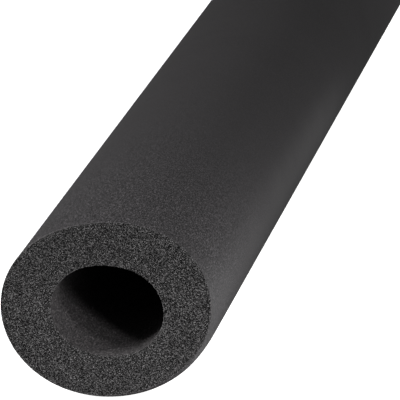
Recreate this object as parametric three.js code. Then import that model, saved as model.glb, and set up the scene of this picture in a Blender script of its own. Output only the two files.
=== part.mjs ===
// Foam pipe insulation: one straight length of soft closed-cell rubber foam tube.
// Units are millimetres and +Z is up. The tube lies along Y, with its near cut end at -Y.
import * as THREE from "three";

// Stock sizes
const LENGTH = 1000;
const BORE_DIAMETER = 28;
const WALL = 13;

// The soft section lies a little flattened: this much wider and lower than round on each side
const SAG = 1.35;

// The blade pulls the skin in at each cut end, over a short length
const DRAW_IN = 0.6;
const DRAW_IN_LENGTH = 12;

// Facets round the section, an odd number of pairs so that one facet lies flat underneath
const SIDES = 66;
const DRAW_IN_STEPS = 4;

const BORE_RADIUS = BORE_DIAMETER / 2;
const OUTER_RADIUS = BORE_RADIUS + WALL;
const HALF_LENGTH = LENGTH / 2;

// Skin from the cut edge to full size, as radius and distance in from the cut
function drawnInSkin() {
  const points = [];
  for (let i = 0; i <= DRAW_IN_STEPS; i += 1) {
    const angle = (i / DRAW_IN_STEPS) * (Math.PI / 2);
    points.push({
      radius: OUTER_RADIUS - DRAW_IN * (1 - Math.sin(angle)),
      inset: DRAW_IN_LENGTH * (1 - Math.cos(angle)),
    });
  }
  return points;
}

// Closed outline of the wall: near cut, skin, far cut, bore
function wallProfile() {
  const skin = drawnInSkin();
  const nearSkin = skin.map((p) => new THREE.Vector2(p.radius, p.inset - HALF_LENGTH));
  const farSkin = skin.map((p) => new THREE.Vector2(p.radius, HALF_LENGTH - p.inset)).reverse();
  return [
    new THREE.Vector2(BORE_RADIUS, -HALF_LENGTH),
    ...nearSkin,
    ...farSkin,
    new THREE.Vector2(BORE_RADIUS, HALF_LENGTH),
    new THREE.Vector2(BORE_RADIUS, -HALF_LENGTH),
  ];
}

// Moves skin and bore together, so the wall keeps its thickness all round
function flatten(geometry) {
  const position = geometry.attributes.position;
  for (let i = 0; i < position.count; i += 1) {
    const x = position.getX(i);
    const z = position.getZ(i);
    const angle = Math.atan2(z, x);
    const radius = Math.hypot(x, z) + SAG * Math.cos(2 * angle);
    position.setX(i, radius * Math.cos(angle));
    position.setZ(i, radius * Math.sin(angle));
  }
}

function foamTube() {
  const geometry = new THREE.LatheGeometry(wallProfile(), SIDES, Math.PI / SIDES);
  flatten(geometry);
  geometry.computeBoundingBox();
  geometry.translate(0, 0, -geometry.boundingBox.min.z);
  geometry.computeVertexNormals();

  const foam = new THREE.MeshStandardMaterial({
    name: "foam",
    color: 0x393738,
    roughness: 0.85,
    metalness: 0,
  });
  const tube = new THREE.Mesh(geometry, foam);
  tube.name = "foam_tube";
  return tube;
}

const part = new THREE.Group();
part.name = "foam_pipe_insulation";
part.add(foamTube());

export default part;
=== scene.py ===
import math
import random
from collections import namedtuple

import bpy
from mathutils import Matrix, Vector


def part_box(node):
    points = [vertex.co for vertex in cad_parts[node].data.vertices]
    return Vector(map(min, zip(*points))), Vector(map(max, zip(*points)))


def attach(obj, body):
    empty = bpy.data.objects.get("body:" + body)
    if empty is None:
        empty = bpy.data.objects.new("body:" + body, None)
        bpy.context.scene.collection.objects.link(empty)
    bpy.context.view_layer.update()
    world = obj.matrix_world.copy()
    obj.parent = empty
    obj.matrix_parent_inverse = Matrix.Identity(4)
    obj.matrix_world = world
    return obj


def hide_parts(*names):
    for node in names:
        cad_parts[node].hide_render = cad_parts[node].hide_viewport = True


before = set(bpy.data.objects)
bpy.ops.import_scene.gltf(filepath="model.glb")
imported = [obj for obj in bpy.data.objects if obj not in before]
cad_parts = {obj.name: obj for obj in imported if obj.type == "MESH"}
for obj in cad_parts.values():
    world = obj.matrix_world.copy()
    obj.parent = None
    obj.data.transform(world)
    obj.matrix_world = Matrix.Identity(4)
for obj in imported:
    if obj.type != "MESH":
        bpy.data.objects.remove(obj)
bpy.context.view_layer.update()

# Sizes of the tube in metres. Its box comes from the frame, and its wall is the stock thickness.
TUBE_NODE = "foam_tube"
tube_low, tube_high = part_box(TUBE_NODE)
WALL = 0.013
HALF_LENGTH = (tube_high.y - tube_low.y) / 2
HALF_WIDTH = (tube_high.x - tube_low.x) / 2
HALF_HEIGHT = (tube_high.z - tube_low.z) / 2
OUTER_RADIUS = (HALF_WIDTH + HALF_HEIGHT) / 2
SAG = (HALF_WIDTH - HALF_HEIGHT) / 2
BORE_RADIUS = OUTER_RADIUS - WALL
AXIS_HEIGHT = tube_low.z + HALF_HEIGHT

# The blade pulls the skin in at a cut and leaves a soft edge
DRAW_IN = 0.00059
DRAW_IN_LENGTH = 0.020
SKIN_EDGE = 0.00012
EDGE_STEPS = 2

# It also pushed the near end a little out of round: waves round the skin, height and turn of each
NEAR_PUSHED = (
    (1, 0.00075, math.radians(118)),
    (2, 0.00115, math.radians(23)),
    (3, 0.00030, math.radians(38)),
)

# Cut cells: their size at the near and the far end, and how unevenly they lie as a share of it
CELL_SIZE = {-1: 0.000335, 1: 0.00048}
CELL_JITTER = 0.2

# Each point of a cut has a pit value from 0 to 1 that darkens it as painted shade: at least this in a pit,
# and at most this on a torn edge and on a ridge
SHALLOWEST_PIT = 0.1
MOST_TORN_PIT = 0.6
MOST_RIDGE_PIT = 0.35

# The deepest pit, the share of it that a pit value of 0 would have, and how far a ridge may drop
PIT_DEPTH = 0.00036
LEAST_DEPTH_SHARE = 0.25
RIDGE_DROP = 0.00005

# Torn edges of a cut: how far they stray across it and how deep they chip
BORE_RAG = 0.00009
SKIN_RAG = 0.00003
BORE_CHIP = 0.00020
SKIN_CHIP = 0.00004

# Rows along the skin and the bore, finest next to a cut, and how far the bore strays from round
FIRST_ROW = 0.00045
ROW_GROWTH = 1.22
LONGEST_ROW = 0.018
FEWEST_ROUND_SKIN = 128
FEWEST_ROUND_BORE = 72
BORE_ROUGH = 0.00008

# Seeds for the points of the wall and for its ridges
WALL_SEED = 7
RIDGE_SEED = 11

# Surfaces of the wall, in the order of their materials
CUT, SKIN, BORE = range(3)

# Foam of a cut: greys from the light ridges to the dark pits, by a depth that adds a fine grain and the pit
# value in these shares; the pit value's share is painted shade in the pits. Scales are in grains a metre.
CUT_TINT = (1.03, 1.0, 1.01)
CUT_GREYS = ((0.42, 0.215), (0.58, 0.072), (0.69, 0.010), (0.83, 0.001))
CUT_GRAIN_SHARE = 1.12
CUT_PIT_SHADE_SHARE = 0.35
CUT_GRAIN_SCALE = 3800.0
CUT_GRAIN_DEPTH = 0.00012
CUT_BUMP = 0.6
CUT_ROUGHNESS = 0.7
CUT_SPECULAR = 0.2

# Smooth foam: name, tint, middle grey, contrast of its specks, roughness, scale and depth of its grain
Foam = namedtuple("Foam", "name tint grey contrast roughness grain_scale grain_depth")
SKIN_FOAM = Foam("foam_skin", (1.07, 1.0, 1.05), 0.0305, 2.1, 0.5, 2900.0, 0.00028)
BORE_FOAM = Foam("foam_bore", (1.08, 1.0, 1.03), 0.038, 1.9, 0.75, 2400.0, 0.00036)

# Specks of the smooth foam from dark to light: place in the grain, and grey as a power of the contrast
SPECKS = ((0.33, -2), (0.48, 0), (0.60, 1), (0.70, 2))
GRAIN_MIDDLE = 0.5
SMOOTH_BUMP = 0.5
SMOOTH_SPECULAR = 0.4

# Faint clouds over the smooth foam, which make it rougher or smoother by the swing
CLOUD_SCALE = 38.0
CLOUD_PLACES = (0.3, 0.7)
CLOUD_SWING = 0.02
PLAIN = (1.0, 1.0, 1.0)

# The smooth foam's grain has this share of its scale along the tube, which draws it out there. The blade's
# dust makes it strongest at a cut, and this far from one it is down to its faint share.
GRAIN_DRAWN = 0.35
DUST_REACH = 0.115
FAINT_GRAIN = 0.2

# The photograph: a square frame, where the near cut is centred and how it is seen. The sensor is in
# millimetres.
FRAME_PIXELS = 400
NEAR_END_PIXEL = (106.8, 311.05)
FOCAL_PIXELS = 4078.0
SENSOR_WIDTH = 36.0
CAMERA_AZIMUTH = math.radians(10.289)
CAMERA_ELEVATION = math.radians(16.513)
NEAR_END_DISTANCE = 1.0831
NEAREST_SEEN = 0.05
FARTHEST_SEEN = 60.0

# Pale floor: radius and height of its outline, and its shade
FLOOR_OUTLINE = ((20.0, 0.0), (24.0, 1.0), (26.0, 4.0), (26.0, 16.0))
FLOOR_SIDES = 64
FLOOR_COLOUR = (0.9, 0.9, 0.9, 1)
FLOOR_ROUGHNESS = 0.9
FLOOR_GLOW = 0.97
WHITE = (1, 1, 1, 1)

# Soft boxes round an end: turn from straight ahead of it, height, size, power in watts
SOFT_BOXES = (
    ("front", math.radians(40), math.radians(30), 0.08, 0.94),
    ("right", math.radians(60), math.radians(30), 0.05, 0.80),
    ("left", math.radians(-75), math.radians(30), 0.16, 2.03),
)
SOFT_BOX_DISTANCE = 0.45
ROOM_LIGHT = 0.127

# The near end's boxes shine widely. The far end's and the long ones shine narrowly, to leave the near end's
# light alone, and so need only a share of the power.
WIDE_SPREAD = math.pi
NARROW_SPREAD = math.radians(40)
NARROW_SHARE = 0.041
LIT_ENDS = ((-1, "near", WIDE_SPREAD, 1.0), (1, "far", NARROW_SPREAD, NARROW_SHARE))

# Long boxes for the tube between its ends: side and power in watts, and the stretch that they span
LONG_BOXES = (("long_right", 1, 0.20), ("long_left", -1, 0.34))
LONG_BOX_HEIGHT = math.radians(33)
LONG_BOX_SPAN = (-0.09, 0.43)
LONG_BOX_WIDTH = 0.16

# Glow of the pale floor beside the near end: middle, length and width, power in watts
FLOOR_GLOWS = (
    ("glow_side", (0.05, -0.38, 0.014), (0.30, 0.03), 0.0062),
    ("glow_front", (0.00, -0.53, 0.008), (0.08, 0.012), 0.00633),
    ("glow_end", (0.08, -0.47, 0.020), (0.10, 0.04), 0.0185),
    ("glow_under_side", (0.035, -0.50, 0.006), (0.06, 0.012), 0.0008),
    ("glow_under", (0.025, -0.51, 0.004), (0.06, 0.008), 0.0015),
)


def smooth_step(x):
    x = min(max(x, 0.0), 1.0)
    return x * x * (3 - 2 * x)


# One ring of points round the wall: radius before flattening, place along, count, surface
Station = namedtuple("Station", "radius along count zone")


# Distances from a cut, growing from a fine first row to the middle of the tube
def row_distances():
    distances = []
    reach, step = FIRST_ROW, FIRST_ROW
    while reach < HALF_LENGTH - LONGEST_ROW / 2:
        distances.append(reach)
        step = min(step * ROW_GROWTH, LONGEST_ROW)
        reach += step
    return distances


def round_count(radius, spacing, fewest):
    return max(fewest, round(2 * math.pi * radius / spacing))


# Spacing of the points round a row, as fine as the rows are long there
def row_spacing(distance):
    return FIRST_ROW + distance * (ROW_GROWTH - 1)


# Radii of the rings of cells across a cut, from the bore edge to the skin edge
def cell_radii(cell):
    across = OUTER_RADIUS - SKIN_EDGE - BORE_RADIUS
    rows = round(across / (cell * math.sqrt(3) / 2))
    return [BORE_RADIUS + across * row / rows for row in range(rows + 1)]


# Half of the wall's outline on one end: bore middle to cut, cut, and skin to the middle
def half_stations(end):
    cell = CELL_SIZE[end]
    stations = []
    for distance in reversed(row_distances()):
        count = round_count(BORE_RADIUS, row_spacing(distance), FEWEST_ROUND_BORE)
        stations.append(Station(BORE_RADIUS, end * (HALF_LENGTH - distance), count, BORE))
    for radius in cell_radii(cell):
        stations.append(Station(radius, end * HALF_LENGTH, round_count(radius, cell, 0), CUT))
    for step in range(1, EDGE_STEPS + 1):
        turn = math.pi / 2 * step / EDGE_STEPS
        radius = OUTER_RADIUS - SKIN_EDGE * (1 - math.sin(turn))
        along = HALF_LENGTH - SKIN_EDGE * (1 - math.cos(turn))
        stations.append(Station(radius, end * along, round_count(radius, cell, 0), SKIN))
    for distance in row_distances():
        count = round_count(OUTER_RADIUS, row_spacing(distance), FEWEST_ROUND_SKIN)
        along = HALF_LENGTH - SKIN_EDGE - distance
        stations.append(Station(OUTER_RADIUS, end * along, count, SKIN))
    return stations


# How far the skin stands out from its full size at an angle and a place along, inward when negative
def skin_change(angle, along):
    share = min((HALF_LENGTH - abs(along)) / DRAW_IN_LENGTH, 1.0)
    change = -DRAW_IN
    if along < 0:
        for waves, height, turn in NEAR_PUSHED:
            change += height * math.cos(waves * (angle - turn))
    return change * (1 - math.sqrt(1 - (1 - share) ** 2))


# Strength of the grain at a place along the tube
def grain_strength(along):
    distance = HALF_LENGTH - abs(along)
    return 1 - (1 - FAINT_GRAIN) * smooth_step(distance / DUST_REACH)


# A point of the flattened tube from its angle, its radius before flattening and its place along
def tube_point(angle, radius, along):
    wall_share = smooth_step((radius - BORE_RADIUS) / WALL)
    radius += skin_change(angle, along) * wall_share
    radius += SAG * math.cos(2 * angle)
    return Vector((radius * math.cos(angle), along, AXIS_HEIGHT + radius * math.sin(angle)))


# Every second ring is turned by half a step
def half_step(index):
    return 0.5 * (index % 2)


# Triangles between two rings of different counts and turns, facing out of the wall
def stitch(first, second, first_turn, second_turn):
    n, m = len(first), len(second)
    triangles = []
    i = j = 0
    while i < n or j < m:
        if j >= m or (i < n and (i + 1 + first_turn) * m <= (j + 1 + second_turn) * n):
            triangles.append((first[(i + 1) % n], first[i % n], second[j % m]))
            i += 1
        else:
            triangles.append((first[i % n], second[j % m], second[(j + 1) % m]))
            j += 1
    return triangles


# Points of one ring, each with its pit value, which paints shade into a cut. Pits and chips are sunk last,
# so that the draw-in at a cut moves deep and shallow points alike.
def ring_points(stations, index, chance):
    station = stations[index]
    around = (stations[index - 1].zone, stations[(index + 1) % len(stations)].zone)
    cells = station.zone == CUT and around == (CUT, CUT)
    torn = station.zone == CUT and not cells
    by_bore = station.radius < BORE_RADIUS + WALL / 2
    rag, chip = (BORE_RAG, BORE_CHIP) if by_bore else (SKIN_RAG, SKIN_CHIP)
    end = 1 if station.along > 0 else -1
    step = 2 * math.pi / station.count
    made = []
    for k in range(station.count):
        angle = step * (k + half_step(index))
        radius, dip, pit = station.radius, 0.0, 0.0
        if cells:
            angle += step * chance.uniform(-CELL_JITTER, CELL_JITTER)
            radius += CELL_SIZE[end] * chance.uniform(-CELL_JITTER, CELL_JITTER)
            deep = smooth_step(smooth_step(chance.random()))
            pit = SHALLOWEST_PIT + (1 - SHALLOWEST_PIT) * deep
            dip = PIT_DEPTH * (LEAST_DEPTH_SHARE + (1 - LEAST_DEPTH_SHARE) * pit)
        elif torn:
            pit = MOST_TORN_PIT * chance.random()
            radius += rag * chance.uniform(-1, 1)
            dip = chip * chance.random()
        elif station.zone == BORE:
            radius += BORE_ROUGH * chance.uniform(-1, 1)
        point = tube_point(angle, radius, station.along)
        point.y -= end * dip
        made.append((point, pit))
    return made


# The closed wall as points, pit values for the painted shade of its cuts, triangles and the surface each
# one belongs to
def build_wall():
    chance = random.Random(WALL_SEED)
    stations = half_stations(-1) + list(reversed(half_stations(1)))
    points, pits, rings = [], [], []
    for index in range(len(stations)):
        made = ring_points(stations, index, chance)
        rings.append(range(len(points), len(points) + len(made)))
        points += [point for point, pit in made]
        pits += [pit for point, pit in made]
    faces, zones = [], []
    for index, station in enumerate(stations):
        following = (index + 1) % len(stations)
        strip = stitch(rings[index], rings[following], half_step(index), half_step(following))
        faces += strip
        zones += [max(station.zone, stations[following].zone)] * len(strip)
    return points, pits, faces, zones


# Whether three points on a cut face out of it
def faces_out(a, b, c):
    across = (b - a).cross(c - a).y
    return across > 0 if a.y > 0 else across < 0


# The two triangles on the edge between pits a and b: a ridge takes the edge's place, unless that would fold
def edge_pair(points, a, b, ridge, other):
    pair = [(a, other, ridge), (b, ridge, other)]
    if all(faces_out(*(points[v] for v in made)) for made in pair):
        return pair
    return [(a, b, ridge), (b, a, other)]


# Cells: every triangle of a cut gets a ridge point, and the edges between pits turn into ridges
def open_cells(points, pits, faces, zones):
    chance = random.Random(RIDGE_SEED)
    ridges = {}
    out_faces, out_zones = [], []
    for face, zone in zip(faces, zones):
        if zone != CUT:
            out_faces.append(face)
            out_zones.append(zone)
            continue
        middle = sum((points[v] for v in face), Vector()) / 3
        end = 1 if middle.y > 0 else -1
        middle.y = end * (HALF_LENGTH - RIDGE_DROP * chance.random())
        ridge = len(points)
        points.append(middle)
        pits.append(MOST_RIDGE_PIT * chance.random())
        for a, b in zip(face, face[1:] + face[:1]):
            if (b, a) in ridges:
                out_faces += edge_pair(points, a, b, ridge, ridges.pop((b, a)))
                out_zones += [CUT, CUT]
            else:
                ridges[(a, b)] = ridge
    for (a, b), ridge in ridges.items():
        out_faces.append((a, b, ridge))
        out_zones.append(CUT)
    return out_faces, out_zones


def node(tree, kind, **values):
    made = tree.nodes.new(kind)
    for name, value in values.items():
        if name in made.inputs:
            made.inputs[name].default_value = value
        else:
            setattr(made, name, value)
    return made


def new_material(name):
    material = bpy.data.materials.new(name)
    material.use_nodes = True
    tree = material.node_tree
    tree.nodes.clear()
    output = node(tree, "ShaderNodeOutputMaterial")
    shader = node(tree, "ShaderNodeBsdfPrincipled")
    tree.links.new(shader.outputs["BSDF"], output.inputs["Surface"])
    return material, tree, shader


# Tinted greys over a value, each stop a place and its grey
def ramp(tree, source, tint, stops):
    made = node(tree, "ShaderNodeValToRGB")
    tree.links.new(source, made.inputs["Fac"])
    elements = made.color_ramp.elements
    while len(elements) < len(stops):
        elements.new(0.5)
    for element, (place, grey) in zip(elements, stops):
        element.position = place
        element.color = (*(share * grey for share in tint), 1)
    return made.outputs["Color"]


# Open cells: light torn ridges, pits darkened with painted shade, a fine grain over both
def cut_material():
    material, tree, shader = new_material("cut_foam")
    place = node(tree, "ShaderNodeTexCoord")
    pit = node(tree, "ShaderNodeAttribute", attribute_name="pit")
    grain = node(tree, "ShaderNodeTexNoise", Scale=CUT_GRAIN_SCALE, Detail=2.0, Roughness=0.6)
    tree.links.new(place.outputs["Object"], grain.inputs["Vector"])
    # The pit value's share darkens the colour: painted shade in the pits
    pit_shade = node(tree, "ShaderNodeMath", operation="MULTIPLY")
    pit_shade.inputs[1].default_value = CUT_PIT_SHADE_SHARE
    tree.links.new(pit.outputs["Fac"], pit_shade.inputs[0])
    depth = node(tree, "ShaderNodeMath", operation="MULTIPLY_ADD")
    depth.inputs[1].default_value = CUT_GRAIN_SHARE
    tree.links.new(grain.outputs["Fac"], depth.inputs[0])
    tree.links.new(pit_shade.outputs["Value"], depth.inputs[2])
    colour = ramp(tree, depth.outputs["Value"], CUT_TINT, CUT_GREYS)
    tree.links.new(colour, shader.inputs["Base Color"])
    shader.inputs["Roughness"].default_value = CUT_ROUGHNESS
    shader.inputs["Specular IOR Level"].default_value = CUT_SPECULAR
    bump = node(tree, "ShaderNodeBump", Strength=CUT_BUMP, Distance=CUT_GRAIN_DEPTH)
    tree.links.new(grain.outputs["Fac"], bump.inputs["Height"])
    tree.links.new(bump.outputs["Normal"], shader.inputs["Normal"])
    return material


# Grain drawn out along the tube, which swings about its middle by its strength at each point
def smooth_grain(tree, place, scale):
    drawn = node(tree, "ShaderNodeMapping", Scale=(1.0, GRAIN_DRAWN, 1.0))
    tree.links.new(place.outputs["Object"], drawn.inputs["Vector"])
    grain = node(tree, "ShaderNodeTexNoise", Scale=scale, Detail=3.0, Roughness=0.55)
    tree.links.new(drawn.outputs["Vector"], grain.inputs["Vector"])
    strength = node(tree, "ShaderNodeAttribute", attribute_name="grain")
    swing = node(tree, "ShaderNodeMath", operation="SUBTRACT")
    swing.inputs[1].default_value = GRAIN_MIDDLE
    tree.links.new(grain.outputs["Fac"], swing.inputs[0])
    faded = node(tree, "ShaderNodeMath", operation="MULTIPLY_ADD")
    faded.inputs[2].default_value = GRAIN_MIDDLE
    tree.links.new(swing.outputs["Value"], faded.inputs[0])
    tree.links.new(strength.outputs["Fac"], faded.inputs[1])
    return faded.outputs["Value"]


# Smooth foam with dark and light specks and faint clouds in its roughness
def smooth_material(foam):
    material, tree, shader = new_material(foam.name)
    place = node(tree, "ShaderNodeTexCoord")
    grain = smooth_grain(tree, place, foam.grain_scale)
    greys = [(spot, foam.grey * foam.contrast ** power) for spot, power in SPECKS]
    tree.links.new(ramp(tree, grain, foam.tint, greys), shader.inputs["Base Color"])
    clouds = node(tree, "ShaderNodeTexNoise", Scale=CLOUD_SCALE, Detail=3.0, Roughness=0.5)
    tree.links.new(place.outputs["Object"], clouds.inputs["Vector"])
    swings = (foam.roughness - CLOUD_SWING, foam.roughness + CLOUD_SWING)
    rough = ramp(tree, clouds.outputs["Fac"], PLAIN, tuple(zip(CLOUD_PLACES, swings)))
    tree.links.new(rough, shader.inputs["Roughness"])
    shader.inputs["Specular IOR Level"].default_value = SMOOTH_SPECULAR
    bump = node(tree, "ShaderNodeBump", Strength=SMOOTH_BUMP, Distance=foam.grain_depth)
    tree.links.new(grain, bump.inputs["Height"])
    tree.links.new(bump.outputs["Normal"], shader.inputs["Normal"])
    return material


def make_tube():
    points, pits, faces, zones = build_wall()
    faces, zones = open_cells(points, pits, faces, zones)
    mesh = bpy.data.meshes.new("foam_tube_visual")
    mesh.from_pydata([tuple(point) for point in points], [], faces)
    for material in (cut_material(), smooth_material(SKIN_FOAM), smooth_material(BORE_FOAM)):
        mesh.materials.append(material)
    mesh.polygons.foreach_set("material_index", zones)
    mesh.polygons.foreach_set("use_smooth", [zone != CUT for zone in zones])
    grain = [grain_strength(point.y) for point in points]
    # The pit value carries the painted shade of the cuts' pits to their material
    for name, values in (("pit", pits), ("grain", grain)):
        attribute = mesh.attributes.new(name, "FLOAT", "POINT")
        attribute.data.foreach_set("value", values)
    mesh.update()
    tube = bpy.data.objects.new("foam_tube_visual", mesh)
    bpy.context.scene.collection.objects.link(tube)
    return tube


# Direction out of an end, turned aside from straight ahead and raised
def out_of_end(end, turn, height):
    level = math.cos(height)
    return Vector((math.sin(turn) * level, end * math.cos(turn) * level, math.sin(height)))


# Camera that sees the near cut where the photograph has it
def make_camera():
    data = bpy.data.cameras.new("camera")
    data.sensor_width = SENSOR_WIDTH
    data.lens = FOCAL_PIXELS * SENSOR_WIDTH / FRAME_PIXELS
    data.clip_start, data.clip_end = NEAREST_SEEN, FARTHEST_SEEN
    camera = bpy.data.objects.new("camera", data)
    bpy.context.scene.collection.objects.link(camera)
    back = out_of_end(-1, CAMERA_AZIMUTH, CAMERA_ELEVATION)
    right = Vector((math.cos(CAMERA_AZIMUTH), math.sin(CAMERA_AZIMUTH), 0))
    up = back.cross(right)
    across = (NEAR_END_PIXEL[0] - FRAME_PIXELS / 2) / FOCAL_PIXELS * NEAR_END_DISTANCE
    down = (NEAR_END_PIXEL[1] - FRAME_PIXELS / 2) / FOCAL_PIXELS * NEAR_END_DISTANCE
    near_end = Vector((0, -HALF_LENGTH, AXIS_HEIGHT))
    camera.location = near_end + back * NEAR_END_DISTANCE - right * across + up * down
    camera.rotation_euler = Matrix((right, up, back)).transposed().to_euler()
    bpy.context.scene.camera = camera


# Floor that rises into a wall all round, far away, as points and faces
def floor_shape():
    points = [(0.0, 0.0, 0.0)]
    faces = []
    for radius, height in FLOOR_OUTLINE:
        for k in range(FLOOR_SIDES):
            angle = 2 * math.pi * k / FLOOR_SIDES
            points.append((radius * math.cos(angle), radius * math.sin(angle), height))
    for k in range(FLOOR_SIDES):
        after = (k + 1) % FLOOR_SIDES
        faces.append((0, 1 + k, 1 + after))
        for row in range(len(FLOOR_OUTLINE) - 1):
            low, high = 1 + row * FLOOR_SIDES, 1 + (row + 1) * FLOOR_SIDES
            faces.append((low + k, high + k, high + after, low + after))
    return points, faces


# The pale floor glows for the camera only, and leaves the light to the boxes
def make_floor():
    points, faces = floor_shape()
    mesh = bpy.data.meshes.new("floor")
    mesh.from_pydata(points, [], faces)
    material, tree, shader = new_material("pale_floor")
    shader.inputs["Base Color"].default_value = FLOOR_COLOUR
    shader.inputs["Roughness"].default_value = FLOOR_ROUGHNESS
    shader.inputs["Emission Color"].default_value = WHITE
    shader.inputs["Emission Strength"].default_value = FLOOR_GLOW
    mesh.materials.append(material)
    floor = bpy.data.objects.new("floor", mesh)
    floor.visible_diffuse = False
    floor.visible_glossy = False
    bpy.context.scene.collection.objects.link(floor)


def area_light(name, place, target, size, power, spread):
    data = bpy.data.lights.new(name, "AREA")
    data.shape = "RECTANGLE"
    data.size, data.size_y = size
    data.energy = power
    data.spread = spread
    light = bpy.data.objects.new(name, data)
    bpy.context.scene.collection.objects.link(light)
    light.visible_camera = False
    light.location = place
    light.rotation_euler = (place - target).to_track_quat("Z", "Y").to_euler()


# The same soft boxes light both ends
def make_soft_boxes():
    for end, title, spread, share in LIT_ENDS:
        target = Vector((0, end * HALF_LENGTH, AXIS_HEIGHT))
        for name, turn, height, size, power in SOFT_BOXES:
            place = target + out_of_end(end, turn, height) * SOFT_BOX_DISTANCE
            area_light(title + "_" + name, place, target, (size, size), power * share, spread)


# Long boxes light the tube between its ends
def make_long_boxes():
    start, stop = LONG_BOX_SPAN
    target = Vector((0, (start + stop) / 2, AXIS_HEIGHT))
    for name, side, power in LONG_BOXES:
        away = Vector((side * math.cos(LONG_BOX_HEIGHT), 0, math.sin(LONG_BOX_HEIGHT)))
        place = target + away * SOFT_BOX_DISTANCE
        area_light(name, place, target, (stop - start, LONG_BOX_WIDTH), power, NARROW_SPREAD)


# Small lights stand for the light that the floor sends up beside the near end
def make_floor_glows():
    for name, middle, size, power in FLOOR_GLOWS:
        place = Vector(middle)
        target = Vector((0, max(place.y, -HALF_LENGTH), AXIS_HEIGHT))
        area_light(name, place, target, size, power, WIDE_SPREAD)


def make_room_light():
    world = bpy.data.worlds.new("studio")
    bpy.context.scene.world = world
    world.use_nodes = True
    background = world.node_tree.nodes["Background"]
    background.inputs["Color"].default_value = WHITE
    background.inputs["Strength"].default_value = ROOM_LIGHT


make_camera()
make_floor()
make_soft_boxes()
make_long_boxes()
make_floor_glows()
make_room_light()
tube = make_tube()
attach(tube, "root")
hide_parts(TUBE_NODE)
bpy.context.scene.view_settings.view_transform = "Standard"
